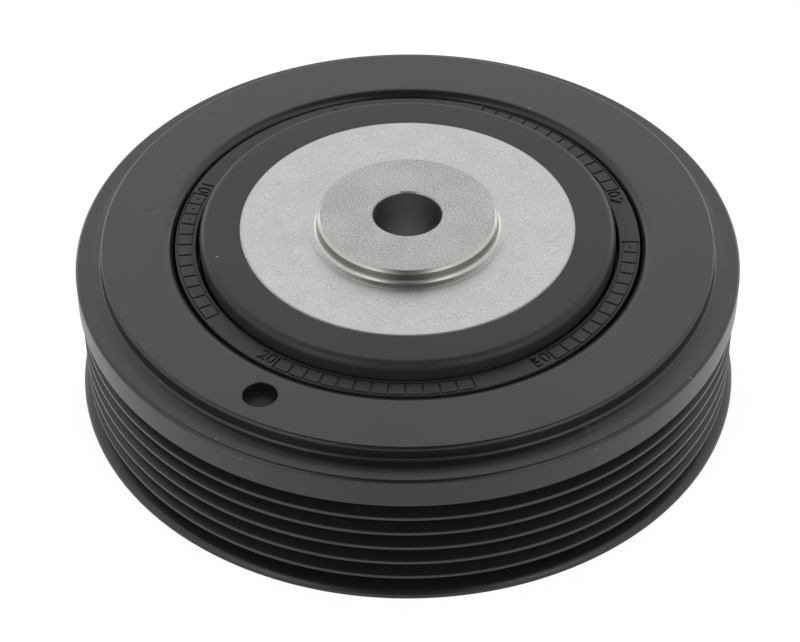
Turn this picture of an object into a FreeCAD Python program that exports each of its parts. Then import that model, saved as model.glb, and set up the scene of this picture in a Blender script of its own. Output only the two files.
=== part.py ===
import FreeCAD, Part
import math
import os
import re
import sys

import Sketcher

# Crankshaft pulley with a rubber-bonded torsional damper. Lengths are in millimetres and
# angles in degrees. The crank axis is Z, the bolt side is +Z, and the pulley stands on the
# rear edge of its belt rim, at height 0.

doc = FreeCAD.newDocument("crankshaft_pulley")

# Driving dimensions

sizes = doc.addObject("Spreadsheet::Sheet", "Sizes")

DIMENSIONS = [
    # belt rim: grooves
    ("groove_pitch", 3.56, "pitch of the PK belt grooves"),
    ("groove_count", 6, "number of belt grooves"),
    ("groove_angle", 40, "angle between the flanks of a groove"),
    ("crest_radius", 60.07, "radius of the crests between the grooves"),
    ("crest_flat", 0.66, "width of each crest"),
    ("root_flat", 0.72, "width of each root"),
    ("root_rounding", 0.35, "rounding of each root corner"),
    ("rear_groove_height", 2.36, "height of the rear groove's centre"),
    # belt rim: sheet
    ("sheet_thickness", 2.0, "thickness of the drawn sheet"),
    ("root_wall", 2.0, "wall left behind the groove roots"),
    ("band_proud", 0.43, "how far the plain band stands proud of the crests"),
    ("band_width", 5.76, "width of that band, in front of the grooves"),
    ("shoulder_width", 4.7, "width of the shoulder round the raised face"),
    ("shoulder_rounding", 0.5, "rounding of the band's front edge"),
    ("step_rise", 3.1, "rise of the raised face above the shoulder"),
    ("step_rounding", 0.6, "rounding of the raised face's outer edge"),
    ("step_fillet", 0.5, "fillet at the foot of the step"),
    ("rear_flange_proud", 1.13, "how far the rear flange stands proud of the crests"),
    ("rear_flange_thickness", 0.7, "thickness of the rear flange"),
    ("rear_flange_rounding", 0.3, "rounding of the rear flange's edges"),
    ("collar_height", 4.5, "height of the collar's rear edge"),
    ("face_width", 13.2, "width of the raised face, from the step to the collar's bore"),
    ("lip_rounding", 2.3, "outside radius of the bend from the face into the collar"),
    # belt rim: hole in the face
    ("hole_radius", 3.0, "radius of the hole in the face"),
    ("hole_inset", 6.4, "distance of the hole's centre from the step"),
    ("hole_angle", -120.5, "direction of the hole, from +X"),
    # hub
    ("hub_flange_wall", 4.0, "wall of the hub's flange"),
    ("hub_flange_height", 5.5, "height of the flange's rear edge"),
    ("hub_edge_rounding", 1.0, "rounding of the flange's front edge"),
    ("hub_front_rise", 2.3, "rise of the hub's front face above the rim's raised face"),
    ("face_chamfer_width", 0.5, "width of the shallow chamfer round the front face"),
    ("face_chamfer_drop", 0.15, "drop of that chamfer"),
    ("hub_disc_thickness", 6.0, "thickness of the hub's disc"),
    ("hub_inner_fillet", 2.5, "fillets of the forged hollow"),
    ("hub_edge_chamfer", 0.8, "chamfers of the turned rear edges"),
    ("bolt_bore_radius", 6.25, "radius of the bolt bore"),
    ("bolt_bore_chamfer", 0.4, "chamfer at the mouth of the bolt bore"),
    ("bolt_seat_radius", 16.1, "radius of the raised bolt seat"),
    ("bolt_seat_rise", 2.4, "rise of the bolt seat above the front face"),
    ("bolt_seat_chamfer", 0.35, "chamfer of the bolt seat's edge"),
    ("seat_foot_width", 1.05, "width of the turned foot round the bolt seat"),
    ("seat_foot_rise", 0.3, "rise of that foot above the front face"),
    ("seat_foot_rounding", 0.15, "rounding of the foot's edge"),
    ("seat_fillet", 0.45, "fillet between the foot and the seat's wall"),
    ("clamp_boss_wall", 7.5, "wall of the rear boss round the crank nose"),
    ("clamp_face_height", 1.0, "height of the rear clamping face"),
    ("nose_bore_radius", 12.5, "radius of the seat for the crank nose"),
    ("nose_bore_depth", 9.0, "depth of that seat"),
    # rubber
    ("skin_width", 6.1, "width of the rubber that laps over the hub's front"),
    ("skin_thickness", 1.5, "thickness of that rubber"),
    ("skin_recess", 0.1, "how far it lies below the hub's front face"),
    ("dome_wall", 1.3, "rubber round the outside of the hub's flange"),
    ("dome_rounding", 1.5, "rounding of the dome"),
    ("dome_groove_width", 0.6, "groove between the dome and the mark ring"),
    ("dome_groove_depth", 3.7, "depth of that groove below the mark ring"),
    ("mark_ring_width", 3.6, "width of the mark ring"),
    ("mark_ring_recess", 0.5, "how far the mark ring lies below the rim's raised face"),
    ("mark_ring_rounding", 0.3, "rounding of the mark ring's edges"),
    ("lip_gap", 0.6, "gap between the mark ring and the collar"),
    ("rubber_inset", 1.2, "how far the rubber ends short of the sleeve at the rear"),
    ("rubber_hollow", 1.2, "depth of the moulded hollow in the rubber's rear"),
    ("rubber_hollow_rounding", 2.0, "rounding of that hollow"),
    # sleeve
    ("sleeve_wall", 1.4, "wall of the sleeve"),
    ("sleeve_cover", 3.1, "rubber over the sleeve's front edge"),
    ("sleeve_lead_in", 0.4, "chamfers that lead the sleeve into the collar"),
    ("sleeve_inset", 0.8, "how far the sleeve stays in front of the collar's rear edge"),
    # inertia ring
    ("ring_clearance", 0.4, "radial clearance between the inertia ring and the collar"),
    ("ring_step_clearance", 0.3, "clearance between the inertia ring and the step"),
    ("ring_rear_height", 2.5, "height of the inertia ring's rear face"),
    ("ring_chamfer", 1.0, "chamfers of the inertia ring"),
]

for row, (alias, value, meaning) in enumerate(DIMENSIONS, start=1):
    sizes.set(f"A{row}", alias.replace("_", " "))
    sizes.set(f"B{row}", str(value))
    sizes.set(f"C{row}", meaning)
    sizes.setAlias(f"B{row}", alias)

# Dimensions worked out from the driving ones, which pieces share

DERIVED = [
    ("flank_slope", "tan(groove_angle / 2)"),
    ("crest_half_gap", "(groove_pitch - crest_flat) / 2"),
    ("root_half_gap", "root_flat / 2"),
    ("groove_depth", "(crest_half_gap - root_half_gap) / flank_slope"),
    ("root_radius", "crest_radius - groove_depth"),
    ("rim_bore", "root_radius - root_wall"),
    ("grooves_end", "rear_groove_height + groove_pitch * (groove_count - 0.5)"),
    ("band_radius", "crest_radius + band_proud"),
    ("rear_flange_radius", "crest_radius + rear_flange_proud"),
    ("shoulder_height", "grooves_end + band_width"),
    ("shoulder_underside", "shoulder_height - sheet_thickness"),
    ("step_radius", "band_radius - shoulder_width"),
    ("step_inside", "step_radius - sheet_thickness"),
    ("face_height", "shoulder_height + step_rise"),
    ("face_underside", "face_height - sheet_thickness"),
    ("hole_circle", "step_radius - hole_inset"),
    ("collar_bore", "step_radius - face_width"),
    ("collar_outside", "collar_bore + sheet_thickness"),
    ("mark_ring_outside", "collar_bore - lip_gap"),
    ("mark_ring_inside", "mark_ring_outside - mark_ring_width"),
    ("mark_ring_height", "face_height - mark_ring_recess"),
    ("dome_radius", "mark_ring_inside - dome_groove_width"),
    ("dome_groove_floor", "mark_ring_height - dome_groove_depth"),
    ("hub_flange_radius", "dome_radius - dome_wall"),
    ("hub_face_height", "face_height + hub_front_rise"),
    ("hub_face_radius", "hub_flange_radius - skin_width"),
    ("disc_rear", "hub_face_height - hub_disc_thickness"),
    ("flange_inside", "hub_flange_radius - hub_flange_wall"),
    ("clamp_boss_radius", "nose_bore_radius + clamp_boss_wall"),
    ("nose_bore_floor", "clamp_face_height + nose_bore_depth"),
    ("bolt_seat_height", "hub_face_height + bolt_seat_rise"),
    ("seat_foot_radius", "bolt_seat_radius + seat_foot_width"),
    ("seat_foot_height", "hub_face_height + seat_foot_rise"),
    ("skin_top", "hub_face_height - skin_recess"),
    ("skin_seat", "skin_top - skin_thickness"),
    ("sleeve_inside", "collar_bore - sleeve_wall"),
    ("sleeve_front_height", "mark_ring_height - sleeve_cover"),
    ("sleeve_rear_height", "collar_height + sleeve_inset"),
    ("rubber_rear_height", "sleeve_rear_height + rubber_inset"),
    ("rubber_hollow_radius", "(hub_flange_radius + sleeve_inside) / 2"),
    ("rubber_hollow_height", "rubber_rear_height + rubber_hollow"),
    ("ring_inside", "collar_outside + ring_clearance"),
    ("ring_neck", "step_inside - ring_step_clearance"),
    ("ring_shoulder", "shoulder_underside - ring_step_clearance"),
]

first_derived_row = len(DIMENSIONS) + 1
for row, (alias, formula) in enumerate(DERIVED, start=first_derived_row):
    sizes.set(f"A{row}", alias.replace("_", " "))
    sizes.set(f"B{row}", "=" + formula)
    sizes.setAlias(f"B{row}", alias)
doc.recompute()

ALIAS_WORD = re.compile(r"\b(" + "|".join(row[0] for row in DIMENSIONS + DERIVED) + r")\b")
REAR_PLANE = "0"

# Sketcher's numbers for the origin and for the places on a piece of geometry
ORIGIN = -1
POINT, START, END, CENTRE = 1, 1, 2, 3


def size(formula):
    """The present value of a formula over the sheet's aliases."""
    return float(sizes.evalExpression(formula))


def bound(formula):
    """The formula with each alias pointed at the sheet, as an expression needs it."""
    return ALIAS_WORD.sub(lambda word: f"Sizes.{word.group(0)}", formula)


# Sketches

def origin_plane(body, role):
    """One of the body's own origin planes or axes."""
    return next(feature for feature in body.Origin.OriginFeatures if feature.Role == role)


def new_sketch(body, name, role):
    """An empty sketch on one of the body's origin planes."""
    sketch = body.newObject("Sketcher::SketchObject", name)
    sketch.AttachmentSupport = [(origin_plane(body, role), "")]
    sketch.MapMode = "FlatFace"
    return sketch


def drive(sketch, kind, *arguments, formula):
    """A dimension of the sketch, driven by the sheet."""
    value = size(formula)
    if kind == "Angle":
        value = math.radians(value)
    index = sketch.addConstraint(Sketcher.Constraint(kind, *arguments, value))
    sketch.setExpression(f"Constraints[{index}]", bound(formula))


def place_vertex(sketch, geometry, end, radius, height):
    """Dimensions a vertex from the crank axis and from the pulley's rear plane."""
    drive(sketch, "DistanceX", ORIGIN, POINT, geometry, end, formula=radius)
    if height == REAR_PLANE:
        sketch.addConstraint(Sketcher.Constraint("PointOnObject", geometry, end, ORIGIN))
    else:
        drive(sketch, "DistanceY", ORIGIN, POINT, geometry, end, formula=height)


def outline(body, name, corners):
    """A closed section in the plane of the crank axis: corners are (radius, height) or
    (radius, height, rounding), each a formula over the sheet."""
    sketch = new_sketch(body, name, "XZ_Plane")
    places = [FreeCAD.Vector(size(corner[0]), size(corner[1]), 0) for corner in corners]
    roundings = [corner[2] if len(corner) > 2 else None for corner in corners]
    count = len(corners)
    arrive, leave, turns = [], [], []
    for index, place in enumerate(places):
        back = (places[index - 1] - place).normalize()
        ahead = (places[(index + 1) % count] - place).normalize()
        turns.append(back.cross(ahead).z)
        reach = 0
        if roundings[index]:
            reach = size(roundings[index]) / math.tan(back.getAngle(ahead) / 2)
        arrive.append(place + back * reach)
        leave.append(place + ahead * reach)
    lines = [
        sketch.addGeometry(Part.LineSegment(leave[index], arrive[(index + 1) % count]))
        for index in range(count)
    ]
    for index, corner in enumerate(corners):
        before, after = lines[index - 1], lines[index]
        if not roundings[index]:
            sketch.addConstraint(Sketcher.Constraint("Coincident", before, END, after, START))
            place_vertex(sketch, after, START, corner[0], corner[1])
            continue
        vertex = sketch.addGeometry(Part.Point(places[index]), True)
        sketch.addConstraint(Sketcher.Constraint("PointOnObject", vertex, POINT, before))
        sketch.addConstraint(Sketcher.Constraint("PointOnObject", vertex, POINT, after))
        place_vertex(sketch, vertex, POINT, corner[0], corner[1])
        arc = rounded_corner(sketch, arrive[index], leave[index], places[index], roundings[index])
        first, last = (START, END) if turns[index] < 0 else (END, START)
        sketch.addConstraint(Sketcher.Constraint("Tangent", before, END, arc, first))
        sketch.addConstraint(Sketcher.Constraint("Tangent", arc, last, after, START))
        drive(sketch, "Radius", arc, formula=roundings[index])
    return sketch


def rounded_corner(sketch, arrival, departure, vertex, rounding):
    """The arc that rounds a corner, from where its lines stop."""
    radius = size(rounding)
    middle = (arrival + departure) / 2
    inward = (middle - vertex).normalize()
    half_chord = arrival.distanceToPoint(departure) / 2
    centre = middle + inward * math.sqrt(max(radius**2 - half_chord**2, 0))
    through = centre - inward * radius
    return sketch.addGeometry(Part.Arc(arrival, through, departure))


def revolve(body, sketch, kind, name):
    """A full turn of the sketch about the crank axis."""
    feature = body.newObject(kind, name)
    feature.Profile = sketch
    feature.ReferenceAxis = (sketch, ["V_Axis"])
    feature.Angle = 360
    return feature


def turned_body(label, corners):
    """A piece whose whole section is turned about the crank axis."""
    body = doc.addObject("PartDesign::Body", label)
    body.Label = label
    section = outline(body, f"{label}_section", corners)
    revolve(body, section, "PartDesign::Revolution", f"{label}_turned")
    doc.recompute()
    return body


# Hub: forged steel, turned all over, with a disc, a flange for the rubber and a boss

hub = turned_body("hub", [
    ("nose_bore_radius + hub_edge_chamfer", "clamp_face_height"),
    ("clamp_boss_radius - hub_edge_chamfer", "clamp_face_height"),
    ("clamp_boss_radius", "clamp_face_height + hub_edge_chamfer"),
    ("clamp_boss_radius", "disc_rear", "hub_inner_fillet"),
    ("flange_inside", "disc_rear", "hub_inner_fillet"),
    ("flange_inside", "hub_flange_height + hub_edge_chamfer"),
    ("flange_inside + hub_edge_chamfer", "hub_flange_height"),
    ("hub_flange_radius - hub_edge_chamfer", "hub_flange_height"),
    ("hub_flange_radius", "hub_flange_height + hub_edge_chamfer"),
    ("hub_flange_radius", "skin_seat", "hub_edge_rounding"),
    ("hub_face_radius", "skin_seat"),
    ("hub_face_radius", "hub_face_height - face_chamfer_drop"),
    ("hub_face_radius - face_chamfer_width", "hub_face_height"),
    ("seat_foot_radius", "hub_face_height"),
    ("seat_foot_radius", "seat_foot_height", "seat_foot_rounding"),
    ("bolt_seat_radius", "seat_foot_height", "seat_fillet"),
    ("bolt_seat_radius", "bolt_seat_height - bolt_seat_chamfer"),
    ("bolt_seat_radius - bolt_seat_chamfer", "bolt_seat_height"),
    ("bolt_bore_radius + bolt_bore_chamfer", "bolt_seat_height"),
    ("bolt_bore_radius", "bolt_seat_height - bolt_bore_chamfer"),
    ("bolt_bore_radius", "nose_bore_floor"),
    ("nose_bore_radius", "nose_bore_floor"),
    ("nose_bore_radius", "clamp_face_height + hub_edge_chamfer"),
])

# Damper rubber: one moulding bonded to the hub's flange and to the sleeve. It laps over the
# flange as a dome, and over the front edge of the sleeve as the ring for the date marks.

damper_rubber = turned_body("damper_rubber", [
    ("hub_face_radius", "skin_seat"),
    ("hub_face_radius", "skin_top"),
    ("dome_radius", "skin_top", "dome_rounding"),
    ("dome_radius", "dome_groove_floor"),
    ("mark_ring_inside", "dome_groove_floor"),
    ("mark_ring_inside", "mark_ring_height", "mark_ring_rounding"),
    ("mark_ring_outside", "mark_ring_height", "mark_ring_rounding"),
    ("mark_ring_outside", "sleeve_front_height"),
    ("sleeve_inside", "sleeve_front_height"),
    ("sleeve_inside", "rubber_rear_height"),
    ("rubber_hollow_radius", "rubber_hollow_height", "rubber_hollow_rounding"),
    ("hub_flange_radius", "rubber_rear_height"),
    ("hub_flange_radius", "skin_seat", "hub_edge_rounding"),
])

# Outer sleeve: a thin steel tube round the rubber, pressed into the rim's collar

outer_sleeve = turned_body("outer_sleeve", [
    ("sleeve_inside", "sleeve_rear_height"),
    ("collar_bore - sleeve_lead_in", "sleeve_rear_height"),
    ("collar_bore", "sleeve_rear_height + sleeve_lead_in"),
    ("collar_bore", "sleeve_front_height - sleeve_lead_in"),
    ("collar_bore - sleeve_lead_in", "sleeve_front_height"),
    ("sleeve_inside", "sleeve_front_height"),
])

# Belt rim: one sheet drawn into a collar, a raised face, a step and a shoulder, then rolled

belt_rim = turned_body("belt_rim", [
    ("rim_bore", REAR_PLANE),
    ("rear_flange_radius", REAR_PLANE, "rear_flange_rounding"),
    ("rear_flange_radius", "rear_flange_thickness", "rear_flange_rounding"),
    ("crest_radius", "rear_flange_thickness"),
    ("crest_radius", "grooves_end"),
    ("band_radius", "grooves_end"),
    ("band_radius", "shoulder_height", "shoulder_rounding"),
    ("step_radius", "shoulder_height", "step_fillet"),
    ("step_radius", "face_height", "step_rounding"),
    ("collar_bore", "face_height", "lip_rounding"),
    ("collar_bore", "collar_height"),
    ("collar_outside", "collar_height"),
    ("collar_outside", "face_underside", "lip_rounding - sheet_thickness"),
    ("step_inside", "face_underside", "step_fillet"),
    ("step_inside", "shoulder_underside", "step_rounding"),
    ("rim_bore", "shoulder_underside", "step_fillet"),
])


def add_belt_grooves(body):
    """The V groove nearest the rear, turned into the rim and then repeated up to the band."""
    before = body.Shape.Volume
    clear = "crest_radius + groove_depth"
    section = outline(body, "groove_section", [
        ("root_radius", "rear_groove_height - root_half_gap", "root_rounding"),
        ("crest_radius", "rear_groove_height - crest_half_gap"),
        (clear, "rear_groove_height - crest_half_gap"),
        (clear, "rear_groove_height + crest_half_gap"),
        ("crest_radius", "rear_groove_height + crest_half_gap"),
        ("root_radius", "rear_groove_height + root_half_gap", "root_rounding"),
    ])
    groove = revolve(body, section, "PartDesign::Groove", "rear_groove")
    doc.recompute()
    pattern = body.newObject("PartDesign::LinearPattern", "belt_grooves")
    pattern.Originals = [groove]
    pattern.Direction = (origin_plane(body, "Z_Axis"), [""])
    pattern.setExpression("Length", bound("groove_pitch * (groove_count - 1)"))
    pattern.setExpression("Occurrences", bound("groove_count"))
    body.Tip = pattern
    doc.recompute()
    if body.Shape.Volume >= before:
        sys.exit("The belt grooves cut nothing")


def add_face_hole(body):
    """The round hole through the raised face, placed by its distance and direction."""
    before = body.Shape.Volume
    section = new_sketch(body, "hole_section", "XY_Plane")
    distance, direction = size("hole_circle"), math.radians(size("hole_angle"))
    centre = FreeCAD.Vector(distance * math.cos(direction), distance * math.sin(direction), 0)
    spoke = section.addGeometry(Part.LineSegment(FreeCAD.Vector(), centre), True)
    circle = section.addGeometry(
        Part.Circle(centre, FreeCAD.Vector(0, 0, 1), size("hole_radius"))
    )
    section.addConstraint(Sketcher.Constraint("Coincident", spoke, START, ORIGIN, POINT))
    section.addConstraint(Sketcher.Constraint("Coincident", circle, CENTRE, spoke, END))
    drive(section, "Distance", spoke, formula="hole_circle")
    drive(section, "Angle", spoke, formula="hole_angle")
    drive(section, "Radius", circle, formula="hole_radius")
    hole = body.newObject("PartDesign::Pocket", "face_hole")
    hole.Profile = section
    hole.Type = "ThroughAll"
    hole.Reversed = True
    doc.recompute()
    body.Tip = hole
    if body.Shape.Volume >= before:
        sys.exit("The hole in the face cuts nothing")


add_belt_grooves(belt_rim)
add_face_hole(belt_rim)

# Inertia ring: cast iron, turned with a neck that fits the step, pressed into the rim

inertia_ring = turned_body("inertia_ring", [
    ("ring_inside", "ring_rear_height + ring_chamfer"),
    ("ring_inside + ring_chamfer", "ring_rear_height"),
    ("rim_bore - ring_chamfer", "ring_rear_height"),
    ("rim_bore", "ring_rear_height + ring_chamfer"),
    ("rim_bore", "ring_shoulder - ring_chamfer"),
    ("rim_bore - ring_chamfer", "ring_shoulder"),
    ("ring_neck", "ring_shoulder"),
    ("ring_neck", "face_underside - ring_chamfer"),
    ("ring_neck - ring_chamfer", "face_underside"),
    ("ring_inside + ring_chamfer", "face_underside"),
    ("ring_inside", "face_underside - ring_chamfer"),
])

PIECES = [hub, damper_rubber, outer_sleeve, belt_rim, inertia_ring]

# Checks, and one file for each piece

doc.recompute()
for item in doc.Objects:
    if "Invalid" in item.State or "Error" in item.State:
        sys.exit(f"{item.Label} has failed: {item.State}")
for piece in PIECES:
    if piece.Shape.isNull() or not piece.Shape.isValid() or len(piece.Shape.Solids) != 1:
        sys.exit(f"{piece.Label} isn't one valid solid")

os.makedirs("parts", exist_ok=True)
for piece in PIECES:
    piece.Shape.exportStep(f"parts/{piece.Label}.step")
    box = piece.Shape.optimalBoundingBox()
    print(f"{piece.Label}: {piece.Shape.Volume / 1000:.2f} cm3,"
          f" radius {box.XMax:.2f}, heights {box.ZMin:.2f} to {box.ZMax:.2f}")
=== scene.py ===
import math

import bmesh
import bpy
from mathutils import Matrix, Vector


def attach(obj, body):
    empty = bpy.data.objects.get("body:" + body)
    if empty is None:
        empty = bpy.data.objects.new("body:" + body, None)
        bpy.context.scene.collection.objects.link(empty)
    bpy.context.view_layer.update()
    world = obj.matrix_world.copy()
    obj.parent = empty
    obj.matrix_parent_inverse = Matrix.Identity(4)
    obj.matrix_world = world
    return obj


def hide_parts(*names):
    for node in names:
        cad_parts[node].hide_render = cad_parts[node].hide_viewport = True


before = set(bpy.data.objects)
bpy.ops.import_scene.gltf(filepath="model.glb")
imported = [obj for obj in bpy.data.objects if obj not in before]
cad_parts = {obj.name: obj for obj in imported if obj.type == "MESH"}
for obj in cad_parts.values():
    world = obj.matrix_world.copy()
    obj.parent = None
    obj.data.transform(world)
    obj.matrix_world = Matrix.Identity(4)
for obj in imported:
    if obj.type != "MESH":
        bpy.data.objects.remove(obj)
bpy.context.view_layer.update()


# Hub
# A steel forging, turned all over. Its bare front is a blasted disc, with the raised seat for
# the crank bolt's washer in the middle. Behind it are a clamping boss and the rubber's flange.

def turned(corners, steps=360):
    """A mesh in millimetres, turned about the crank axis. Corners are (radius, height), or
    (radius, height, rounding)."""
    builder = bmesh.new()
    section = [builder.verts.new((corner[0], 0, corner[1])) for corner in corners]
    for first, second in zip(section, section[1:] + section[:1]):
        builder.edges.new((first, second))
    for vertex, corner in zip(section, corners):
        if len(corner) > 2:
            round_corner(builder, vertex, corner[2])
    bmesh.ops.spin(
        builder, geom=builder.verts[:] + builder.edges[:], cent=(0, 0, 0), axis=(0, 0, 1),
        dvec=(0, 0, 0), angle=math.tau, steps=steps, use_merge=True)
    bmesh.ops.remove_doubles(builder, verts=builder.verts[:], dist=1e-4)
    bmesh.ops.recalc_face_normals(builder, faces=builder.faces[:])
    return builder


def round_corner(builder, vertex, rounding):
    """Rounds a corner of a section to a radius in millimetres."""
    before, after = [edge.other_vert(vertex).co - vertex.co for edge in vertex.link_edges]
    reach = rounding / math.tan(before.angle(after) / 2)
    bmesh.ops.bevel(
        builder, geom=[vertex], offset=reach, offset_type="OFFSET", segments=5, profile=0.5,
        affect="VERTICES", material=-1)


def piece_from(name, builder, materials, finish_of=None):
    """The finished object of a mesh in millimetres, smooth between its sharp edges. finish_of
    gives the number of a face's material from its radius, height and normal."""
    if finish_of:
        for face in builder.faces:
            middle = face.calc_center_median()
            face.material_index = finish_of(middle.xy.length, middle.z, face.normal)
    bmesh.ops.scale(builder, vec=(0.001, 0.001, 0.001), verts=builder.verts[:])
    mesh = bpy.data.meshes.new(name)
    builder.to_mesh(mesh)
    builder.free()
    for material in materials:
        mesh.materials.append(material)
    piece = bpy.data.objects.new(name, mesh)
    bpy.context.collection.objects.link(piece)
    shade_evenly(piece)
    return piece


def shade_evenly(piece):
    """Smooth shading between sharp edges, which keeps broad faces flat."""
    piece.data.shade_smooth()
    piece.data.set_sharp_from_angle(angle=math.radians(28))
    shading = piece.modifiers.new("even_shading", "WEIGHTED_NORMAL")
    shading.keep_sharp = True
    shading.weight = 60


def effect_group(name, inputs, outputs):
    """An empty shader group with number inputs, a vector input and number outputs."""
    group = bpy.data.node_groups.new(name, "ShaderNodeTree")
    group.interface.new_socket("Vector", in_out="INPUT", socket_type="NodeSocketVector")
    for socket, value in inputs.items():
        made = group.interface.new_socket(socket, in_out="INPUT", socket_type="NodeSocketFloat")
        made.default_value = value
    for socket in outputs:
        group.interface.new_socket(socket, in_out="OUTPUT", socket_type="NodeSocketFloat")
    return group, group.nodes.new("NodeGroupInput"), group.nodes.new("NodeGroupOutput")


def math_node(nodes, links, operation, first, second=0.5, clamp=False):
    """The result of a sum on two sockets or numbers."""
    node = nodes.new("ShaderNodeMath")
    node.operation = operation
    node.use_clamp = clamp
    for socket, value in zip(node.inputs, (first, second)):
        if isinstance(value, (int, float)):
            socket.default_value = value
        else:
            links.new(value, socket)
    return node.outputs["Value"]


def noise_node(nodes, links, vector, scale, detail=3.0, roughness=0.5, dimensions="3D"):
    """A noise texture whose scale is a socket or a number."""
    node = nodes.new("ShaderNodeTexNoise")
    node.noise_dimensions = dimensions
    links.new(vector, node.inputs["W" if dimensions == "1D" else "Vector"])
    node.inputs["Detail"].default_value = detail
    node.inputs["Roughness"].default_value = roughness
    if isinstance(scale, (int, float)):
        node.inputs["Scale"].default_value = scale
    else:
        links.new(scale, node.inputs["Scale"])
    return node.outputs["Fac"]


def make_grain_group():
    """Fine grain: a fine noise with a coarser one over it, as height and as tone."""
    group, source, result = effect_group(
        "fine_grain", {"Scale": 4000.0, "Clouding": 0.3}, ["Height", "Tone"])
    nodes, links = group.nodes, group.links
    vector, scale = source.outputs["Vector"], source.outputs["Scale"]
    fine = noise_node(nodes, links, vector, scale, detail=4.0, roughness=0.62)
    cloud_scale = math_node(nodes, links, "MULTIPLY", scale, 0.03)
    cloud = noise_node(nodes, links, vector, cloud_scale, detail=3.0)
    centred_cloud = math_node(nodes, links, "SUBTRACT", cloud, 0.5)
    weighted_cloud = math_node(
        nodes, links, "MULTIPLY", centred_cloud, source.outputs["Clouding"])
    links.new(fine, result.inputs["Height"])
    links.new(math_node(nodes, links, "ADD", fine, weighted_cloud), result.inputs["Tone"])
    return group


def make_turning_group():
    """The fine lines that a cutting tool leaves, along the radius and the height."""
    group, source, result = effect_group(
        "turning_lines", {"Scale": 9000.0, "Waver": 0.00004}, ["Height", "Tone"])
    nodes, links = group.nodes, group.links
    split = nodes.new("ShaderNodeSeparateXYZ")
    links.new(source.outputs["Vector"], split.inputs["Vector"])
    across = math_node(nodes, links, "POWER", split.outputs["X"], 2.0)
    along = math_node(nodes, links, "POWER", split.outputs["Y"], 2.0)
    radius = math_node(nodes, links, "SQRT", math_node(nodes, links, "ADD", across, along))
    path = math_node(nodes, links, "ADD", radius, split.outputs["Z"])
    wander = noise_node(nodes, links, source.outputs["Vector"], 60.0)
    wandering = math_node(nodes, links, "MULTIPLY", wander, source.outputs["Waver"])
    path = math_node(nodes, links, "ADD", path, wandering)
    lines = noise_node(nodes, links, path, source.outputs["Scale"], detail=4.0, dimensions="1D")
    links.new(lines, result.inputs["Height"])
    links.new(lines, result.inputs["Tone"])
    return group


def make_speck_group():
    """Dust: a few pale specks of uneven size, set far apart."""
    group, source, result = effect_group(
        "dust_specks", {"Scale": 260.0, "Share": 0.2, "Size": 0.06}, ["Mask"])
    nodes, links = group.nodes, group.links
    warp = nodes.new("ShaderNodeTexNoise")
    warp.inputs["Scale"].default_value = 2600.0
    links.new(source.outputs["Vector"], warp.inputs["Vector"])
    shift = nodes.new("ShaderNodeVectorMath")
    shift.operation = "MULTIPLY_ADD"
    links.new(warp.outputs["Color"], shift.inputs[0])
    shift.inputs[1].default_value = (0.0004, 0.0004, 0.0004)
    links.new(source.outputs["Vector"], shift.inputs[2])
    cells = nodes.new("ShaderNodeTexVoronoi")
    links.new(shift.outputs["Vector"], cells.inputs["Vector"])
    links.new(source.outputs["Scale"], cells.inputs["Scale"])
    split = nodes.new("ShaderNodeSeparateColor")
    links.new(cells.outputs["Color"], split.inputs["Color"])
    chosen = math_node(nodes, links, "LESS_THAN", split.outputs["Red"], source.outputs["Share"])
    reach = math_node(nodes, links, "MULTIPLY", split.outputs["Green"], source.outputs["Size"])
    inside = math_node(nodes, links, "SUBTRACT", reach, cells.outputs["Distance"])
    soft = math_node(nodes, links, "MULTIPLY", inside, 40.0, clamp=True)
    shown = math_node(nodes, links, "MULTIPLY", soft, split.outputs["Blue"])
    links.new(math_node(nodes, links, "MULTIPLY", shown, chosen), result.inputs["Mask"])
    return group


def make_scratch_group():
    """Hair scratches: thin broken lines, where two stretched noises cross."""
    group, source, result = effect_group("hair_scratches", {"Scale": 120.0, "Width": 0.004}, ["Mask"])
    nodes, links = group.nodes, group.links
    stretched = nodes.new("ShaderNodeMapping")
    stretched.inputs["Rotation"].default_value = (0.0, 0.0, 0.6)
    stretched.inputs["Scale"].default_value = (0.35, 1.6, 1.0)
    links.new(source.outputs["Vector"], stretched.inputs["Vector"])
    lines = noise_node(
        nodes, links, stretched.outputs["Vector"], source.outputs["Scale"], detail=1.0)
    centred = math_node(nodes, links, "SUBTRACT", lines, 0.5)
    offset = math_node(nodes, links, "ABSOLUTE", centred)
    thin = math_node(nodes, links, "LESS_THAN", offset, source.outputs["Width"])
    patches = noise_node(nodes, links, source.outputs["Vector"], 90.0, detail=2.0)
    sparse = math_node(nodes, links, "GREATER_THAN", patches, 0.62)
    links.new(math_node(nodes, links, "MULTIPLY", thin, sparse), result.inputs["Mask"])
    return group


GRAIN = make_grain_group()
TURNING = make_turning_group()
SPECKS = make_speck_group()
SCRATCHES = make_scratch_group()


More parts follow.
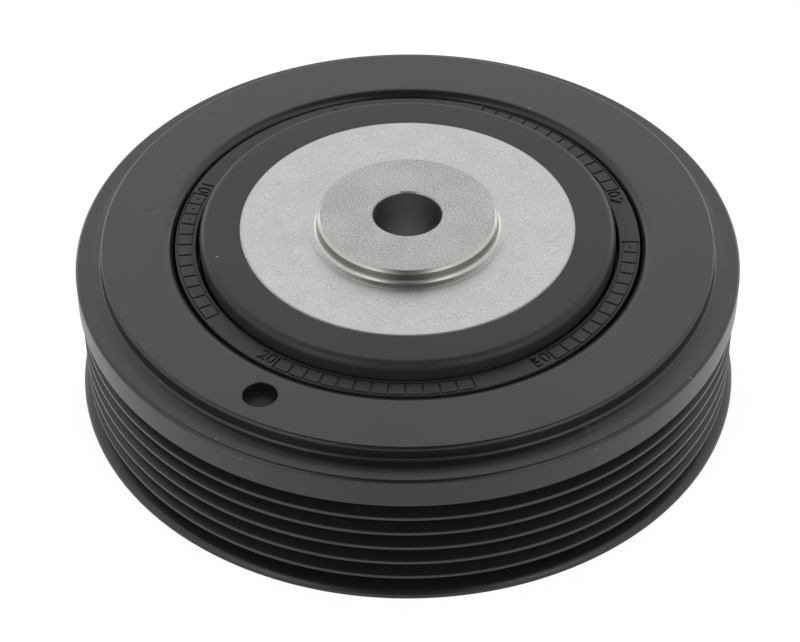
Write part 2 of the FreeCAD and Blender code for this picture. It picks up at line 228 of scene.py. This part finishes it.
class Finish:
    """A material under way: its Principled shader, and the Object coordinates it reads."""

    def __init__(self, name, metallic=0.0):
        self.material = bpy.data.materials.new(name)
        self.material.use_nodes = True
        self.nodes = self.material.node_tree.nodes
        self.links = self.material.node_tree.links
        self.shader = self.nodes["Principled BSDF"]
        self.shader.inputs["Metallic"].default_value = metallic
        self.place = self.nodes.new("ShaderNodeTexCoord").outputs["Object"]
        self.bumps = None

    def effect(self, group, **values):
        """One of the shared groups, with this finish's own values."""
        node = self.nodes.new("ShaderNodeGroup")
        node.node_tree = group
        self.links.new(self.place, node.inputs["Vector"])
        for socket, value in values.items():
            node.inputs[socket].default_value = value
        return node.outputs

    def blend(self, factor, low, high, spread=(0.0, 1.0)):
        """A colour between two, by a mask or a tone."""
        ramp = self.nodes.new("ShaderNodeMapRange")
        ramp.inputs["From Min"].default_value, ramp.inputs["From Max"].default_value = spread
        self.links.new(factor, ramp.inputs["Value"])
        mix = self.nodes.new("ShaderNodeMix")
        mix.data_type = "RGBA"
        self.links.new(ramp.outputs["Result"], mix.inputs["Factor"])
        for socket, value in ((mix.inputs[6], low), (mix.inputs[7], high)):
            if isinstance(value, tuple):
                socket.default_value = (*value, 1.0)
            else:
                self.links.new(value, socket)
        return mix.outputs[2]

    def vary(self, factor, low, high, spread=(0.0, 1.0)):
        """A number between two, by a mask or a tone."""
        ramp = self.nodes.new("ShaderNodeMapRange")
        ramp.inputs["From Min"].default_value, ramp.inputs["From Max"].default_value = spread
        ramp.inputs["To Min"].default_value = low
        ramp.inputs["To Max"].default_value = high
        self.links.new(factor, ramp.inputs["Value"])
        return ramp.outputs["Result"]

    def colour(self, socket):
        self.links.new(socket, self.shader.inputs["Base Color"])

    def roughness(self, socket):
        self.links.new(socket, self.shader.inputs["Roughness"])

    def relief(self, height, depth):
        """Bump of a depth in metres, over what is there already."""
        bump = self.nodes.new("ShaderNodeBump")
        bump.inputs["Distance"].default_value = depth
        self.links.new(height, bump.inputs["Height"])
        if self.bumps:
            self.links.new(self.bumps, bump.inputs["Normal"])
        self.bumps = bump.outputs["Normal"]
        self.links.new(self.bumps, self.shader.inputs["Normal"])


def blasted_steel(name, dark, pale, scale, contrast, clouding, depth, roughness):
    """Bare steel with a fine blasted grain."""
    finish = Finish(name, metallic=1.0)
    grain = finish.effect(GRAIN, Scale=scale, Clouding=clouding)
    spread = (0.5 - contrast, 0.5 + contrast)
    finish.colour(finish.blend(grain["Tone"], dark, pale, spread))
    finish.roughness(finish.vary(grain["Tone"], roughness + 0.08, roughness - 0.08))
    finish.relief(grain["Height"], depth)
    return finish.material


def turned_steel(name, dark, pale, scale, depth, roughness):
    """Bright steel with the fine lines of the cutting tool."""
    finish = Finish(name, metallic=1.0)
    lines = finish.effect(TURNING, Scale=scale)
    finish.colour(finish.blend(lines["Tone"], dark, pale, (0.35, 0.65)))
    finish.roughness(finish.vary(lines["Tone"], roughness + 0.06, roughness - 0.04))
    finish.relief(lines["Height"], depth)
    return finish.material


HUB_FACE = 33.1
HUB_FACE_RADIUS = 30.4
FACE_CHAMFER = 0.28
HUB_FLANGE = (32.5, 36.5)
HUB_FLANGE_REAR = 5.5
SKIN_SEAT = 31.5
DISC_REAR = 27.1
SEAT_RADIUS = 16.4
SEAT_HEIGHT = 35.5
SEAT_CHAMFER = 0.52
FOOT_RADIUS = 17.85
FOOT_HEIGHT = 32.74
FOOT_RISE = 0.1
BOSS_RADIUS = 20.0
CLAMP_FACE = 1.0
NOSE_BORE = (12.5, 10.0)
BOLT_BORE = 6.25
EDGE_CHAMFER = 0.8

hub_disc = blasted_steel(
    "blasted_disc", (0.31, 0.311, 0.307), (0.6, 0.602, 0.596), 5200.0, 0.17, 0.1, 0.000004, 0.46)
# The disc's edge chamfer takes a darker copy of the blasted steel: the grain is the real finish, the
# darker tone is painted shade.
hub_disc_edge_painted_shade = blasted_steel(
    "blasted_disc_edge_painted_shade", (0.27, 0.271, 0.27), (0.45, 0.451, 0.45), 3400.0, 0.16, 0.5, 0.000006, 0.5)
hub_seat = blasted_steel(
    "grainy_seat", (0.15, 0.15, 0.147), (0.55, 0.55, 0.536), 4900.0, 0.14, 0.1, 0.000007, 0.44)
hub_bright = turned_steel(
    "bright_turned_steel", (0.38, 0.375, 0.355), (0.48, 0.475, 0.455), 6000.0, 0.000001, 0.32)
# The seat's side wall takes a darker, browner copy of the turned steel; its darkness is painted shade on
# that wall.
hub_wall_painted_shade = turned_steel(
    "turned_seat_wall_painted_shade", (0.24, 0.23, 0.195), (0.38, 0.37, 0.33), 6000.0, 0.000001, 0.25)
hub_bore = turned_steel(
    "bored_steel", (0.32, 0.31, 0.302), (0.34, 0.33, 0.322), 400.0, 0.0000001, 0.42)
hub_rear = turned_steel(
    "rear_turned_steel", (0.3, 0.3, 0.29), (0.46, 0.46, 0.45), 2600.0, 0.000004, 0.36)


DISC, DISC_EDGE, SEAT, BRIGHT, WALL, BORE, REAR = range(7)


def hub_finish(radius, height, normal):
    """Which finish of the hub a face has."""
    if radius < BOLT_BORE + 0.02 and height > NOSE_BORE[1]:
        return BORE
    if height < DISC_REAR + 0.1 or radius > HUB_FACE_RADIUS:
        return REAR
    if radius > HUB_FACE_RADIUS - FACE_CHAMFER - 0.03:
        return DISC_EDGE
    if radius < SEAT_RADIUS - SEAT_CHAMFER:
        return SEAT
    if normal.z > 0.95 and height < SEAT_HEIGHT - 0.5:
        return DISC
    if abs(normal.z) < 0.1 and radius < SEAT_RADIUS + 0.1:
        return WALL
    return BRIGHT


hub = piece_from("hub_steel", turned([
    (NOSE_BORE[0] + EDGE_CHAMFER, CLAMP_FACE),
    (BOSS_RADIUS - EDGE_CHAMFER, CLAMP_FACE),
    (BOSS_RADIUS, CLAMP_FACE + EDGE_CHAMFER),
    (BOSS_RADIUS, DISC_REAR, 2.5),
    (HUB_FLANGE[0], DISC_REAR, 2.5),
    (HUB_FLANGE[0], HUB_FLANGE_REAR + EDGE_CHAMFER),
    (HUB_FLANGE[0] + EDGE_CHAMFER, HUB_FLANGE_REAR),
    (HUB_FLANGE[1] - EDGE_CHAMFER, HUB_FLANGE_REAR),
    (HUB_FLANGE[1], HUB_FLANGE_REAR + EDGE_CHAMFER),
    (HUB_FLANGE[1], SKIN_SEAT, 1.0),
    (HUB_FACE_RADIUS, SKIN_SEAT),
    (HUB_FACE_RADIUS, HUB_FACE - 0.12),
    (HUB_FACE_RADIUS - FACE_CHAMFER, HUB_FACE, 0.12),
    (FOOT_RADIUS, FOOT_HEIGHT - FOOT_RISE),
    (FOOT_RADIUS, FOOT_HEIGHT, 0.08),
    (SEAT_RADIUS, FOOT_HEIGHT, 0.9),
    (SEAT_RADIUS, SEAT_HEIGHT - SEAT_CHAMFER, 0.12),
    (SEAT_RADIUS - SEAT_CHAMFER, SEAT_HEIGHT, 0.08),
    (BOLT_BORE + 0.18, SEAT_HEIGHT, 0.08),
    (BOLT_BORE, SEAT_HEIGHT - 0.3),
    (BOLT_BORE, NOSE_BORE[1]),
    (NOSE_BORE[0], NOSE_BORE[1]),
    (NOSE_BORE[0], CLAMP_FACE + EDGE_CHAMFER),
]), [hub_disc, hub_disc_edge_painted_shade, hub_seat, hub_bright, hub_wall_painted_shade, hub_bore, hub_rear], hub_finish)
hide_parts("hub")
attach(hub, "root")


# Damper rubber
# One moulding of black rubber, cured on to the hub's flange and the outer sleeve. It laps over
# the flange as a dome, and its lower ring has four date marks: a ladder of boxes and a number.

def moulded_rubber():
    """Matt black rubber with a fine mould texture and a little dust."""
    finish = Finish("moulded_rubber")
    finish.shader.inputs["Specular IOR Level"].default_value = 0.26
    grain = finish.effect(GRAIN, Scale=2400.0, Clouding=0.5)
    specks = finish.effect(SPECKS, Scale=230.0, Share=0.26, Size=0.085)
    plain = finish.blend(grain["Tone"], (0.032, 0.0323, 0.032), (0.044, 0.0445, 0.044))
    finish.colour(finish.blend(specks["Mask"], plain, (0.4, 0.4, 0.39)))
    finish.roughness(finish.vary(grain["Tone"], 0.44, 0.36))
    finish.relief(grain["Height"], 0.000006)
    finish.relief(specks["Mask"], 0.00004)
    return finish.material


DOME_TOP = 33.0
DOME_RADIUS = 37.8
DOME_ROUNDING = 1.5
GROOVE_FLOOR = 26.6
MARK_RING = (38.4, 42.3)
MARK_RING_TOP = 30.0
SLEEVE = (41.2, 42.6)
SLEEVE_ENDS = (5.3, 27.2)
RUBBER_REAR = 6.5
INNER_LINE = (38.98, 39.3)
OUTER_LINE = (41.72, 42.02)
TICK_WIDTH = 0.42
MARK_DEPTH = 0.25
BOX_COUNT = 12
BOX_ANGLE = 4.16
NUMBER_ANGLE = 3.0
NUMBER_RADIUS = 40.4
NUMBER_SIZE = 3.4
DOT_RADIUS = 0.22
POINTER_ANGLE = 109.7

rubber_mesh = turned([
    (HUB_FACE_RADIUS, SKIN_SEAT),
    (HUB_FACE_RADIUS, DOME_TOP - 0.08),
    (HUB_FACE_RADIUS + 0.25, DOME_TOP),
    (DOME_RADIUS, DOME_TOP, DOME_ROUNDING),
    (DOME_RADIUS, GROOVE_FLOOR, 0.25),
    (MARK_RING[0], GROOVE_FLOOR, 0.25),
    (MARK_RING[0], MARK_RING_TOP, 0.3),
    (INNER_LINE[0], MARK_RING_TOP),
    (INNER_LINE[1], MARK_RING_TOP),
    (OUTER_LINE[0], MARK_RING_TOP),
    (OUTER_LINE[1], MARK_RING_TOP),
    (MARK_RING[1], MARK_RING_TOP, 0.2),
    (MARK_RING[1], SLEEVE_ENDS[1]),
    (SLEEVE[0], SLEEVE_ENDS[1]),
    (SLEEVE[0], RUBBER_REAR),
    ((SLEEVE[0] + HUB_FLANGE[1]) / 2, RUBBER_REAR + 1.2, 2.0),
    (HUB_FLANGE[1], RUBBER_REAR),
    (HUB_FLANGE[1], SKIN_SEAT, 1.0),
])


def direction(angle):
    """The unit vector at an angle in degrees from +X."""
    return Vector((math.cos(math.radians(angle)), math.sin(math.radians(angle)), 0))


def turned_by(face, angle):
    """How many degrees a face's middle lies round from an angle."""
    middle = face.calc_center_median()
    return (math.degrees(math.atan2(middle.y, middle.x)) - angle + 180) % 360 - 180


def mark_ring_faces(builder, angle, reach):
    """The top faces of the mark ring within some degrees of an angle."""
    faces = []
    for face in builder.faces:
        middle = face.calc_center_median()
        on_top = abs(middle.z - MARK_RING_TOP) < 0.01 and face.normal.z > 0.99
        if on_top and abs(turned_by(face, angle)) < reach:
            faces.append(face)
    return faces


def cut_tick(builder, angle):
    """Splits the mark ring's top along both sides of a tick."""
    across = direction(angle + 90)
    for side in (-TICK_WIDTH / 2, TICK_WIDTH / 2):
        faces = mark_ring_faces(builder, angle, 2.0)
        edges = {edge for face in faces for edge in face.edges}
        verts = {vert for face in faces for vert in face.verts}
        bmesh.ops.bisect_plane(
            builder, geom=faces + list(edges) + list(verts), dist=1e-5,
            plane_co=across * side, plane_no=across)


def engrave_ladder(builder, first_angle, step):
    """A ladder of boxes on the mark ring, sunk into it as thin lines."""
    ticks = [first_angle + step * index for index in range(BOX_COUNT + 1)]
    for angle in ticks:
        cut_tick(builder, angle)
    middle = (ticks[0] + ticks[-1]) / 2
    half_span = abs(ticks[-1] - ticks[0]) / 2
    lines = []
    for face in mark_ring_faces(builder, middle, half_span + 1.0):
        radius = face.calc_center_median().xy.length
        off_tick = min(abs(turned_by(face, angle)) for angle in ticks)
        on_tick = math.radians(off_tick) * radius < TICK_WIDTH / 2
        on_arc = any(low < radius < high for low, high in (INNER_LINE, OUTER_LINE))
        between = INNER_LINE[0] < radius < OUTER_LINE[1]
        within = abs(turned_by(face, middle)) < half_span
        if (on_tick and between) or (on_arc and within):
            lines.append(face)
    sunk = bmesh.ops.extrude_face_region(builder, geom=lines)
    moved = [item for item in sunk["geom"] if isinstance(item, bmesh.types.BMVert)]
    bmesh.ops.translate(builder, verts=moved, vec=(0, 0, -MARK_DEPTH))
    left_over = [face for face in lines if face.is_valid]
    bmesh.ops.delete(builder, geom=left_over, context="FACES_ONLY")


def mark_punch():
    """The punch for the numbers before the ladders, and for the dots in their boxes."""
    punch = bmesh.new()
    for first_angle, step, number, dotted in DATE_MARKS:
        stand = first_angle - math.copysign(NUMBER_ANGLE, step)
        add_number(punch, number, stand)
        for box in dotted:
            add_pin(punch, first_angle + step * (box + 0.5), NUMBER_RADIUS, DOT_RADIUS, DOT_RADIUS)
    for radius, half_length in ((40.2, 0.9), (41.1, 0.55)):
        add_pin(punch, POINTER_ANGLE, radius, half_length, 0.17)
    return piece_from("mark_punch", punch, [])


def add_number(builder, number, angle):
    """A number that reads round the ring, its top towards the crank axis."""
    letters = bpy.data.curves.new("number", "FONT")
    letters.body = number
    letters.size = NUMBER_SIZE
    letters.extrude = MARK_DEPTH
    letters.offset = 0.06
    letters.align_x = letters.align_y = "CENTER"
    carrier = bpy.data.objects.new("number", letters)
    mesh = bpy.data.meshes.new_from_object(carrier)
    mesh.transform(
        Matrix.Translation(direction(angle) * NUMBER_RADIUS + Vector((0, 0, MARK_RING_TOP)))
        @ Matrix.Rotation(math.radians(angle + 90), 4, "Z"))
    builder.from_mesh(mesh)
    bpy.data.objects.remove(carrier)
    bmesh.ops.remove_doubles(builder, verts=builder.verts[:], dist=1e-4)


def add_pin(builder, angle, radius, half_length, half_width):
    """A flat pin with round ends, its length along the ring."""
    place = (
        Matrix.Translation(direction(angle) * radius + Vector((0, 0, MARK_RING_TOP)))
        @ Matrix.Rotation(math.radians(angle + 90), 4, "Z")
        @ Matrix.Diagonal((half_length, half_width, 1, 1)))
    bmesh.ops.create_cone(
        builder, cap_ends=True, segments=24, radius1=1, radius2=1, depth=2 * MARK_DEPTH, matrix=place)


def cut_away(piece, punch):
    """Takes a punch's shape out of a piece, and the punch out of the scene."""
    piece.modifiers.clear()
    punch.modifiers.clear()
    cut = piece.modifiers.new("cut", "BOOLEAN")
    cut.operation = "DIFFERENCE"
    cut.solver = "EXACT"
    cut.object = punch
    bpy.context.view_layer.update()
    evaluated = piece.evaluated_get(bpy.context.evaluated_depsgraph_get())
    piece.data = bpy.data.meshes.new_from_object(evaluated)
    piece.modifiers.clear()
    bpy.data.objects.remove(punch)
    shade_evenly(piece)


DATE_MARKS = [
    (161.8, 4.2, "10", (0, 1, 2)),
    (-123.9, BOX_ANGLE, "20", ()),
    (-52.3, BOX_ANGLE, "30", (11,)),
    (19.3, BOX_ANGLE, "40", ()),
]
for first_angle, step, number, dotted in DATE_MARKS:
    engrave_ladder(rubber_mesh, first_angle, step)

rubber = piece_from("damper_rubber_moulding", rubber_mesh, [moulded_rubber()])
cut_away(rubber, mark_punch())
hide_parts("damper_rubber")
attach(rubber, "root")


# Outer sleeve
# A thin steel tube with a black phosphate finish, round the rubber. It is pressed into the
# rim's collar, and only its rear edge can be seen, from behind.

def phosphated_steel():
    """Dark crystalline phosphate on steel."""
    finish = Finish("phosphated_steel", metallic=0.3)
    grain = finish.effect(GRAIN, Scale=5200.0, Clouding=0.8)
    finish.colour(finish.blend(grain["Tone"], (0.03, 0.03, 0.03), (0.075, 0.075, 0.073), (0.3, 0.7)))
    finish.roughness(finish.vary(grain["Tone"], 0.62, 0.45))
    finish.relief(grain["Height"], 0.000006)
    return finish.material


SLEEVE_LEAD_IN = 0.4

sleeve = piece_from("outer_sleeve_tube", turned([
    (SLEEVE[0], SLEEVE_ENDS[0], 0.15),
    (SLEEVE[1] - SLEEVE_LEAD_IN, SLEEVE_ENDS[0]),
    (SLEEVE[1], SLEEVE_ENDS[0] + SLEEVE_LEAD_IN),
    (SLEEVE[1], SLEEVE_ENDS[1] - SLEEVE_LEAD_IN),
    (SLEEVE[1] - SLEEVE_LEAD_IN, SLEEVE_ENDS[1]),
    (SLEEVE[0], SLEEVE_ENDS[1]),
]), [phosphated_steel()])
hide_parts("outer_sleeve")
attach(sleeve, "root")


# Belt rim
# One steel sheet, drawn into a collar, a raised face, a step and a shoulder, with the six belt
# grooves rolled into its wall. It is dip painted in satin black, and has one hole in its face.

def black_dip_paint():
    """Satin black paint, a little uneven, with dust and hair scratches."""
    finish = Finish("black_dip_paint")
    grain = finish.effect(GRAIN, Scale=3000.0, Clouding=0.6)
    specks = finish.effect(SPECKS, Scale=210.0, Share=0.34, Size=0.085)
    scratches = finish.effect(SCRATCHES, Scale=150.0, Width=0.0025)
    plain = finish.blend(grain["Tone"], (0.009, 0.0108, 0.0106), (0.013, 0.0149, 0.0147))
    scratched = finish.blend(scratches["Mask"], plain, (0.06, 0.06, 0.06))
    finish.colour(finish.blend(specks["Mask"], scratched, (0.4, 0.4, 0.39)))
    finish.roughness(finish.vary(grain["Tone"], 0.36, 0.28))
    finish.relief(grain["Height"], 0.0000025)
    finish.relief(specks["Mask"], 0.00004)
    return finish.material


GROOVE_PITCH = 3.56
GROOVE_COUNT = 6
REAR_GROOVE = 2.36
CREST = 60.07
CREST_FLAT = 0.66
ROOT_FLAT = 0.72
FLANK_SLOPE = math.tan(math.radians(20))
BAND = 60.5
REAR_FLANGE = 61.2
SHOULDER = 27.7
CREASE = 57.6
STEP = 55.8
FACE = 30.8
SHEET = 2.0
COLLAR_BORE = 42.6
COLLAR_REAR = 4.5
LIP = 2.3
HOLE_RADIUS = 3.0
HOLE_CIRCLE = 49.4
HOLE_ANGLE = -120.5

crest_half_gap = (GROOVE_PITCH - CREST_FLAT) / 2
groove_depth = (crest_half_gap - ROOT_FLAT / 2) / FLANK_SLOPE
root = CREST - groove_depth
rim_bore = root - SHEET
grooves_end = REAR_GROOVE + GROOVE_PITCH * (GROOVE_COUNT - 0.5)

rim_section = [
    (rim_bore, 0, 0.3),
    (REAR_FLANGE, 0, 0.05),
    (REAR_FLANGE, 1.1, 1.2),
]
for index in range(GROOVE_COUNT):
    middle = REAR_GROOVE + GROOVE_PITCH * index
    if index > 0:
        rim_section.append((CREST, middle - crest_half_gap, 0.16))
    rim_section += [
        (root, middle - ROOT_FLAT / 2, 0.35),
        (root, middle + ROOT_FLAT / 2, 0.35),
        (CREST, middle + crest_half_gap, 0.16),
    ]
rim_section += [
    (CREST, grooves_end),
    (BAND, grooves_end + 0.05, 0.12),
    (BAND, SHOULDER, 0.65),
    (CREASE + 0.15, SHOULDER),
    (CREASE, SHOULDER + 0.03),
    (STEP, SHOULDER + 0.35, 0.6),
    (STEP, FACE, 0.6),
    (COLLAR_BORE, FACE, LIP - 0.3),
    (COLLAR_BORE, COLLAR_REAR, 0.2),
    (COLLAR_BORE + SHEET, COLLAR_REAR, 0.2),
    (COLLAR_BORE + SHEET, FACE - SHEET, LIP - SHEET),
    (STEP - SHEET, FACE - SHEET, 0.5),
    (STEP - SHEET, SHOULDER - SHEET, 0.6),
    (rim_bore, SHOULDER - SHEET, 0.5),
]
rim = piece_from("belt_rim_sheet", turned(rim_section), [black_dip_paint()])

hole_middle = direction(HOLE_ANGLE) * HOLE_CIRCLE
punch_mesh = turned([
    (0, FACE - SHEET - 0.5),
    (HOLE_RADIUS, FACE - SHEET - 0.5),
    (HOLE_RADIUS, FACE - 0.12, 0.1),
    (HOLE_RADIUS + 0.2, FACE + 0.08),
    (HOLE_RADIUS + 0.2, FACE + 1),
    (0, FACE + 1),
], steps=96)
bmesh.ops.translate(punch_mesh, verts=punch_mesh.verts[:], vec=hole_middle)
cut_away(rim, piece_from("hole_punch", punch_mesh, []))
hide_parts("belt_rim")
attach(rim, "root")


# Inertia ring
# A turned ring of grey iron, pressed into the rim behind its face. Its front is the floor of
# the hole, and its rear face closes the back of the rim.

def turned_iron():
    """Grey iron in a near-black tone, with its turning lines. The near-black tone is partly the ring's
    own dark colour and partly painted shade for the floor of the face's hole.
    """
    finish = Finish("turned_iron")
    finish.shader.inputs["Specular IOR Level"].default_value = 0.25
    lines = finish.effect(TURNING, Scale=1600.0, Waver=0.0002)
    grain = finish.effect(GRAIN, Scale=2600.0, Clouding=0.9)
    # Near-black base: partly the ring's own colour, partly painted shade that darkens the floor of the
    # face's hole.
    base = finish.blend(grain["Tone"], (0.012, 0.0122, 0.0122), (0.024, 0.024, 0.0236), (0.3, 0.7))
    finish.colour(finish.blend(lines["Tone"], base, (0.035, 0.035, 0.034), (0.5, 0.9)))
    finish.roughness(finish.vary(grain["Tone"], 0.55, 0.4))
    finish.relief(lines["Height"], 0.00003)
    finish.relief(grain["Height"], 0.00001)
    return finish.material


RING_INSIDE = 45.0
RING_REAR = 2.5
RING_NECK = 53.5
RING_SHOULDER = 25.4
RING_CHAMFER = 1.0

ring = piece_from("inertia_ring_iron", turned([
    (RING_INSIDE, RING_REAR + RING_CHAMFER, 0.15),
    (RING_INSIDE + RING_CHAMFER, RING_REAR, 0.15),
    (rim_bore - RING_CHAMFER, RING_REAR, 0.15),
    (rim_bore, RING_REAR + RING_CHAMFER),
    (rim_bore, RING_SHOULDER - RING_CHAMFER),
    (rim_bore - RING_CHAMFER, RING_SHOULDER),
    (RING_NECK, RING_SHOULDER),
    (RING_NECK, FACE - SHEET - RING_CHAMFER),
    (RING_NECK - RING_CHAMFER, FACE - SHEET),
    (RING_INSIDE + RING_CHAMFER, FACE - SHEET),
    (RING_INSIDE, FACE - SHEET - RING_CHAMFER),
]), [turned_iron()])
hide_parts("inertia_ring")
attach(ring, "root")


# Studio
# A white floor and background, a tall soft lamp on each side of the camera, three lamps behind,
# and black cards in front and overhead, which darken what the steel and the paint reflect.

def seen_as_background(nodes, links):
    """1 for the rays that show a background: camera, glossy and transmission."""
    path = nodes.new("ShaderNodeLightPath")
    glossy = math_node(nodes, links, "ADD", path.outputs["Is Camera Ray"], path.outputs["Is Glossy Ray"])
    return math_node(nodes, links, "ADD", glossy, path.outputs["Is Transmission Ray"], clamp=True)


def white_floor():
    """A white floor that shows as white and still takes a soft shadow."""
    material = bpy.data.materials.new("white_floor")
    material.use_nodes = True
    nodes, links = material.node_tree.nodes, material.node_tree.links
    nodes.clear()
    matt = nodes.new("ShaderNodeBsdfDiffuse")
    matt.inputs["Color"].default_value = (0.9, 0.9, 0.9, 1)
    glow = nodes.new("ShaderNodeEmission")
    glow.inputs["Strength"].default_value = 1.16
    mix = nodes.new("ShaderNodeMixShader")
    shown = math_node(nodes, links, "MULTIPLY", seen_as_background(nodes, links), 0.8)
    links.new(shown, mix.inputs[0])
    links.new(matt.outputs[0], mix.inputs[1])
    links.new(glow.outputs[0], mix.inputs[2])
    links.new(mix.outputs[0], nodes.new("ShaderNodeOutputMaterial").inputs["Surface"])
    return material


FLOOR_CLEARANCE = 0.00005

floor_builder = bmesh.new()
bmesh.ops.create_circle(floor_builder, cap_ends=True, segments=96, radius=3.0)
bmesh.ops.translate(floor_builder, verts=floor_builder.verts[:], vec=(0, 0, -FLOOR_CLEARANCE))
floor_mesh = bpy.data.meshes.new("floor")
floor_builder.to_mesh(floor_mesh)
floor_builder.free()
floor_mesh.materials.append(white_floor())
floor = bpy.data.objects.new("floor", floor_mesh)
bpy.context.collection.objects.link(floor)


def soft_lamp(name, place, width, height, power):
    """A soft rectangular lamp that faces the pulley."""
    light = bpy.data.lights.new(name, "AREA")
    light.shape = "RECTANGLE"
    light.size, light.size_y = width, height
    light.energy = power
    lamp = bpy.data.objects.new(name, light)
    lamp.location = place
    lamp.rotation_euler = (Vector((0, 0, 0.02)) - Vector(place)).to_track_quat("-Z", "Y").to_euler()
    bpy.context.collection.objects.link(lamp)
    return lamp


soft_lamp("left_lamp", (-0.61, -0.72, 0.57), 0.42, 0.75, 2.0)
soft_lamp("right_lamp", (0.61, -0.72, 0.57), 0.42, 0.75, 2.0)
soft_lamp("left_strip", (-0.66, 0.85, 0.23), 0.5, 0.28, 0.9)
soft_lamp("right_strip", (0.66, 0.85, 0.23), 0.5, 0.28, 0.9)
soft_lamp("back_lamp", (0.0, 1.2, 1.2), 1.6, 1.0, 2)

def black_card(name, place, tilt, half_width, half_height):
    """A matt black card that only reflections show."""
    builder = bmesh.new()
    bmesh.ops.create_grid(builder, x_segments=1, y_segments=1, size=1.0)
    bmesh.ops.transform(builder, verts=builder.verts[:], matrix=(
        Matrix.Translation(place)
        @ Matrix.Rotation(math.radians(tilt), 4, "X")
        @ Matrix.Diagonal((half_width, half_height, 1.0, 1.0))))
    mesh = bpy.data.meshes.new(name)
    builder.to_mesh(mesh)
    builder.free()
    black = bpy.data.materials.new(name)
    black.use_nodes = True
    black.node_tree.nodes["Principled BSDF"].inputs["Base Color"].default_value = (0.01, 0.01, 0.01, 1)
    mesh.materials.append(black)
    card = bpy.data.objects.new(name, mesh)
    card.visible_camera = False
    bpy.context.collection.objects.link(card)


black_card("front_card", (0, -1.0, 0.8), 50, 1.1, 0.7)
black_card("top_card", (0, 0, 1.4), 0, 0.7, 0.7)

world = bpy.data.worlds.new("studio")
bpy.context.scene.world = world
world.use_nodes = True
world_nodes, world_links = world.node_tree.nodes, world.node_tree.links
background = world_nodes["Background"]
background.inputs["Color"].default_value = (1, 1, 1, 1)
shown_white = seen_as_background(world_nodes, world_links)
level = world_nodes.new("ShaderNodeMapRange")
level.inputs["To Min"].default_value = 0.7
level.inputs["To Max"].default_value = 1.15
world_links.new(shown_white, level.inputs["Value"])
world_links.new(level.outputs["Result"], background.inputs["Strength"])

camera_data = bpy.data.cameras.new("camera")
camera_data.sensor_width = 36
camera_data.lens = 112.5
camera_data.clip_start = 0.01
camera = bpy.data.objects.new("camera", camera_data)
camera.matrix_world = (
    Matrix.Translation((0, -0.3506, 0.3213))
    @ Matrix.Rotation(math.radians(0.24), 4, "Z")
    @ Matrix.Rotation(math.radians(48.35), 4, "X")
    @ Matrix.Rotation(math.radians(-0.38), 4, "Z"))
bpy.context.collection.objects.link(camera)
bpy.context.scene.camera = camera
bpy.context.scene.view_settings.view_transform = "Standard"
